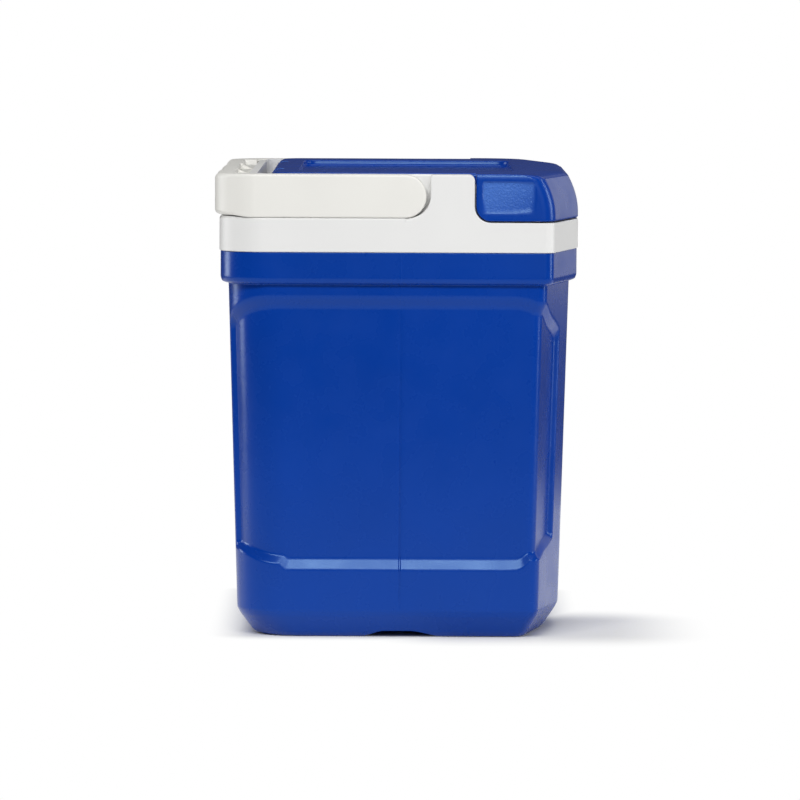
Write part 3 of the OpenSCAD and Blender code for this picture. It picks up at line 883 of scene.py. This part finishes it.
def material(name, color, rough, grain_size, grain_depth, drift=0.05, coat=0.0, metal=0.0, specular=0.5,
             tint_of=(1, 1, 1), streak=False):
    """A moulded surface: its colour drifts a little, its gloss is uneven and it has a fine grain."""
    mat = bpy.data.materials.new(name)
    mat.use_nodes = True
    nodes, links = mat.node_tree.nodes, mat.node_tree.links
    nodes.clear()
    out = nodes.new("ShaderNodeOutputMaterial")
    bsdf = nodes.new("ShaderNodeBsdfPrincipled")
    links.new(bsdf.outputs["BSDF"], out.inputs["Surface"])
    bsdf.inputs["Metallic"].default_value = metal
    bsdf.inputs["IOR"].default_value = 1.5
    bsdf.inputs["Specular IOR Level"].default_value = specular
    bsdf.inputs["Specular Tint"].default_value = (*tint_of, 1)
    bsdf.inputs["Coat Weight"].default_value = coat
    bsdf.inputs["Coat Roughness"].default_value = 0.22
    where = nodes.new("ShaderNodeTexCoord")
    broad = nodes.new("ShaderNodeTexNoise")
    broad.inputs["Scale"].default_value = 9.0
    broad.inputs["Detail"].default_value = 3.0
    links.new(where.outputs["Object"], broad.inputs["Vector"])
    tint = nodes.new("ShaderNodeValToRGB")
    tint.color_ramp.elements[0].position = 0.3
    tint.color_ramp.elements[1].position = 0.7
    tint.color_ramp.elements[0].color = tuple(c * (1 - drift) for c in color) + (1,)
    tint.color_ramp.elements[1].color = tuple(min(1, c * (1 + drift)) for c in color) + (1,)
    links.new(broad.outputs["Fac"], tint.inputs["Fac"])
    links.new(tint.outputs["Color"], bsdf.inputs["Base Color"])
    uneven = nodes.new("ShaderNodeTexNoise")
    uneven.inputs["Scale"].default_value = 35.0
    uneven.inputs["Detail"].default_value = 5.0
    links.new(where.outputs["Object"], uneven.inputs["Vector"])
    gloss = nodes.new("ShaderNodeMapRange")
    gloss.inputs["From Min"].default_value = 0.3
    gloss.inputs["From Max"].default_value = 0.7
    gloss.inputs["To Min"].default_value = rough - 0.035
    gloss.inputs["To Max"].default_value = rough + 0.045
    links.new(uneven.outputs["Fac"], gloss.inputs["Value"])
    links.new(gloss.outputs["Result"], bsdf.inputs["Roughness"])
    fine = nodes.new("ShaderNodeTexNoise")
    fine.inputs["Scale"].default_value = grain_size
    fine.inputs["Detail"].default_value = 4.0
    if streak:
        turn = nodes.new("ShaderNodeMapping")
        turn.inputs["Scale"].default_value = (0.05, 1.0, 1.0)
        links.new(where.outputs["Object"], turn.inputs["Vector"])
        links.new(turn.outputs["Vector"], fine.inputs["Vector"])
    else:
        links.new(where.outputs["Object"], fine.inputs["Vector"])
    bump = nodes.new("ShaderNodeBump")
    bump.inputs["Strength"].default_value = 0.35
    bump.inputs["Distance"].default_value = grain_depth * 0.001
    links.new(fine.outputs["Fac"], bump.inputs["Height"])
    links.new(bump.outputs["Normal"], bsdf.inputs["Normal"])
    return mat


def srgb(r, g, b):
    return tuple((c / 255 / 12.92) if c <= 10 else ((c / 255 + 0.055) / 1.055) ** 2.4 for c in (r, g, b))


def add_grain_and_painted_sheen(mat, light, rough, depth):
    """Where the mesh is marked as grained, the surface is duller and pebbled, and painted lighter as a sheen."""
    nodes, links = mat.node_tree.nodes, mat.node_tree.links
    bsdf = next(n for n in nodes if n.type == "BSDF_PRINCIPLED")
    fine = next(n for n in nodes if n.type == "BUMP")
    mark = nodes.new("ShaderNodeAttribute")
    mark.attribute_name = "grain"
    where = nodes.new("ShaderNodeTexCoord")
    cells = nodes.new("ShaderNodeTexVoronoi")
    cells.feature = "SMOOTH_F1"
    cells.inputs["Scale"].default_value = 620.0
    cells.inputs["Smoothness"].default_value = 0.6
    links.new(where.outputs["Object"], cells.inputs["Vector"])
    height = nodes.new("ShaderNodeMath")
    height.operation = "MULTIPLY"
    links.new(cells.outputs["Distance"], height.inputs[0])
    links.new(mark.outputs["Fac"], height.inputs[1])
    bump = nodes.new("ShaderNodeBump")
    bump.invert = True
    bump.inputs["Strength"].default_value = 1.0
    bump.inputs["Distance"].default_value = depth * 0.001
    links.new(height.outputs["Value"], bump.inputs["Height"])
    links.new(fine.outputs["Normal"], bump.inputs["Normal"])
    links.new(bump.outputs["Normal"], bsdf.inputs["Normal"])
    # the Mix node's two inputs and its result are numbered by its data type
    # the colour blend is a painted sheen: the marked dishes are drawn a lighter blue; the roughness blend is the
    # grain's real dullness
    for socket, target, kind, (a, b, result) in (("Base Color", (*light, 1), "RGBA", (6, 7, 2)),
                                                 ("Roughness", rough, "FLOAT", (2, 3, 0))):
        before = bsdf.inputs[socket].links[0].from_socket
        blend = nodes.new("ShaderNodeMix")
        blend.data_type = kind
        blend.inputs[b].default_value = target
        links.new(mark.outputs["Fac"], blend.inputs[0])
        links.new(before, blend.inputs[a])
        links.new(blend.outputs[result], bsdf.inputs[socket])


# color, roughness, the grain's scale and its depth in mm
BLUE = material("blue_body", srgb(0, 53, 148), 0.27, 1400, 0.02, specular=0.4, tint_of=(0.45, 0.75, 1))
LID_BLUE = material("blue_lid", srgb(0, 54, 150), 0.28, 1500, 0.02, specular=0.4, tint_of=(0.5, 0.8, 1))
# the dishes' lighter blue is a painted sheen, not the plastic's own colour
add_grain_and_painted_sheen(LID_BLUE, srgb(62, 104, 188), 0.5, 0.8)
PLUG_BLUE = material("blue_plug", srgb(0, 46, 130), 0.42, 1200, 0.03, specular=0.3, tint_of=(0.5, 0.8, 1))
WHITE = material("white_collar", srgb(226, 226, 225), 0.42, 1300, 0.03, 0.015)
HANDLE_WHITE = material("white_handle", srgb(228, 227, 222), 0.44, 1100, 0.05, 0.02)
GRIP_WHITE = material("white_grip", srgb(222, 221, 215), 0.5, 900, 0.06, 0.02)
TUB_WHITE = material("white_tub", srgb(232, 233, 232), 0.28, 1300, 0.02, 0.015, coat=0.15)
ACETAL = material("acetal", srgb(205, 205, 200), 0.38, 1500, 0.02, 0.02)
FOAM = material("foam", srgb(226, 208, 160), 0.85, 420, 0.5, 0.08)
STEEL = material("steel", (0.55, 0.56, 0.58), 0.30, 2500, 0.03, 0.04, metal=1.0, streak=True)


# ------------------------------------------------------------------ the pieces

finish_piece(build_body(), "chest", BLUE, ["body_shell"])
finish_piece(build_liner(), "chest", TUB_WHITE, ["liner"])
finish_piece(build_collar(), "chest", WHITE, ["collar"])
finish_piece(build_handle(), "handle", HANDLE_WHITE, ["handle_bail"])
finish_piece(build_grip(), "handle", GRIP_WHITE, ["handle_grip"])
finish_piece(build_lid(), "lid", LID_BLUE, ["lid_shell"])
finish_piece(build_pan(), "lid", TUB_WHITE, ["lid_liner"])

CARRIED = {"body_foam": (FOAM, "foam"), "lid_foam": (FOAM, "foam"), "body_fill_plug": (PLUG_BLUE, "plug_blue"),
           "lid_fill_plug": (TUB_WHITE, "tub_white"), "pivot_bush_left": (ACETAL, "acetal"),
           "pivot_bush_right": (ACETAL, "acetal"), "handle_pin_left": (STEEL, "steel"),
           "handle_pin_right": (STEEL, "steel"), "pin_clip_left": (STEEL, "steel"),
           "pin_clip_right": (STEEL, "steel"), "hinge_pin_left": (STEEL, "steel"),
           "hinge_pin_right": (STEEL, "steel")}
for node, (mat, slot_name) in CARRIED.items():
    obj = frame["nodes"][node]
    obj.data.materials.clear()
    obj.data.materials.append(mat)


# ------------------------------------------------------------------ floor, light and camera

def ring_sheet(name, radii, heights, mat, steps=96):
    """A round stage surface through circles about the origin."""
    verts, faces = [(0, 0, heights[0])], []
    for r, z in zip(radii, heights):
        for i in range(steps):
            a = 2 * math.pi * i / steps
            verts.append((r * math.cos(a), r * math.sin(a), z))
    for i in range(steps):
        faces.append((0, 1 + i, 1 + (i + 1) % steps))
    for k in range(len(radii) - 1):
        for i in range(steps):
            j = (i + 1) % steps
            faces.append((1 + k * steps + i, 1 + (k + 1) * steps + i, 1 + (k + 1) * steps + j, 1 + k * steps + j))
    mesh = bpy.data.meshes.new(name)
    mesh.from_pydata(verts, [], faces)
    mesh.materials.append(mat)
    mesh.shade_smooth()
    obj = placed(name, mesh)
    return obj


def glow(name, strength):
    """Plain white light, for the backdrop."""
    mat = bpy.data.materials.new(name)
    mat.use_nodes = True
    nodes, links = mat.node_tree.nodes, mat.node_tree.links
    nodes.clear()
    out = nodes.new("ShaderNodeOutputMaterial")
    shine = nodes.new("ShaderNodeEmission")
    shine.inputs["Strength"].default_value = strength
    links.new(shine.outputs["Emission"], out.inputs["Surface"])
    return mat


def floor_paper():
    """Matt white paper that fades to plain white light away from the object."""
    mat = material("paper", (0.88, 0.873, 0.84), 0.9, 300, 0.02, 0.004, specular=0.0)
    nodes, links = mat.node_tree.nodes, mat.node_tree.links
    out = next(n for n in nodes if n.type == "OUTPUT_MATERIAL")
    paper = next(n for n in nodes if n.type == "BSDF_PRINCIPLED")
    shine = nodes.new("ShaderNodeEmission")
    shine.inputs["Strength"].default_value = BACKDROP
    where = nodes.new("ShaderNodeTexCoord")

    def vector_math(operation, source, value=None):
        node = nodes.new("ShaderNodeVectorMath")
        node.operation = operation
        if value:
            node.inputs[1].default_value = value
        links.new(source, node.inputs[0])
        return node.outputs["Value" if operation == "LENGTH" else "Vector"]

    def fade_from(middle, half, reach):
        """0 within a rectangle on the floor, rising to 1 at a distance from it."""
        at = vector_math("SUBTRACT", where.outputs["Object"], (*middle, 0))
        beyond = vector_math("SUBTRACT", vector_math("ABSOLUTE", at), (*half, 0))
        fade = nodes.new("ShaderNodeMapRange")
        fade.interpolation_type = "SMOOTHSTEP"
        fade.inputs["From Max"].default_value = reach
        links.new(vector_math("LENGTH", vector_math("MAXIMUM", beyond, (0, 0, 1e-6))), fade.inputs["Value"])
        return fade.outputs["Result"]

    # Painted light: outside the two boxes the paper glows, which blanks out the cast shadow and so paints its
    # shape. The shadow is cut short round most of the object and left longer off the corner at -x, -y by the
    # second box, and at the near end the glow reaches in under the object's edge, lighting the floor under the
    # arch.
    fade = nodes.new("ShaderNodeMath")
    fade.operation = "MINIMUM"
    links.new(fade_from((0, 0), (0.175, 0.115), 0.05), fade.inputs[0])
    links.new(fade_from((-0.12, -0.12), (0.05, 0.06), 0.1), fade.inputs[1])
    blend = nodes.new("ShaderNodeMixShader")
    links.new(fade.outputs["Value"], blend.inputs["Fac"])
    links.new(paper.outputs["BSDF"], blend.inputs[1])
    links.new(shine.outputs["Emission"], blend.inputs[2])
    links.new(blend.outputs["Shader"], out.inputs["Surface"])
    return mat


BACKDROP = 1.0
floor = ring_sheet("floor", [0.2, 0.4, 0.7, 1.1], [0, 0, 0, 0], floor_paper())
dome = ring_sheet("backdrop", [9, 17, 20, 17, 9, 0.01], [-17, -9, 0, 9, 17, 20], glow("backdrop_white", BACKDROP))
dome.visible_diffuse = dome.visible_glossy = dome.visible_shadow = False
dome.visible_transmission = False

world = bpy.data.worlds.new("studio")
bpy.context.scene.world = world
world.use_nodes = True
nodes, links = world.node_tree.nodes, world.node_tree.links
nodes.clear()
ambient = nodes.new("ShaderNodeBackground")
ambient.inputs["Color"].default_value = (1, 1, 1, 1)
ambient.inputs["Strength"].default_value = 0.07
links.new(ambient.outputs["Background"], nodes.new("ShaderNodeOutputWorld").inputs["Surface"])


def lamp(name, at, aim, size, power, tall=None):
    """A white panel of light. Its size is in metres and its power in watts."""
    data = bpy.data.lights.new(name, "AREA")
    data.shape = "RECTANGLE"
    data.size, data.size_y, data.energy = size, tall or size, power
    obj = placed(name, data)
    obj.location = at
    obj.rotation_euler = (Vector(aim) - Vector(at)).to_track_quat("-Z", "Y").to_euler()
    obj.visible_camera = False


lamp("key", (-1.9, 0.2, 1.6), (0, 0, 0.2), 1.7, 38, tall=0.45)
lamp("left", (0.75, 2.3, 0.65), (0, 0, 0.25), 0.7, 20, tall=1.3)
lamp("right", (-0.45, -2.3, 0.7), (0, 0, 0.25), 0.55, 20, tall=1.3)
lamp("far_right", (1.9, -1.4, 0.9), (0, -0.1, 0.3), 1.6, 5)
lamp("fill", (-2.4, -0.6, 0.9), (0, 0, 0.22), 1.2, 5)
lamp("above", (0.3, -0.1, 2.4), (0, 0, 0.3), 1.8, 16)

# The camera looks along +X at the left end, from 4.8 m. It is tipped down and turned a little about its axis.
PITCH, ROLL = math.radians(4.255), 0.0045
EYE = (-5.020, -0.00285, 0.5648)
camera_data = bpy.data.cameras.new("camera")
camera_data.lens, camera_data.sensor_width, camera_data.clip_end = 252.8, 36, 100
camera = placed("camera", camera_data)
ahead = Vector((math.cos(PITCH), 0, -math.sin(PITCH)))
level, upright = Vector((0, -1, 0)), Vector((math.sin(PITCH), 0, math.cos(PITCH)))
right = level * math.cos(ROLL) + upright * math.sin(ROLL)
up = upright * math.cos(ROLL) - level * math.sin(ROLL)
camera.matrix_world = Matrix([(right[k], up[k], -ahead[k], EYE[k]) for k in range(3)] + [(0, 0, 0, 1)])
bpy.context.scene.camera = camera
bpy.context.scene.view_settings.view_transform = "Standard"
bpy.context.scene.view_settings.look = "None"
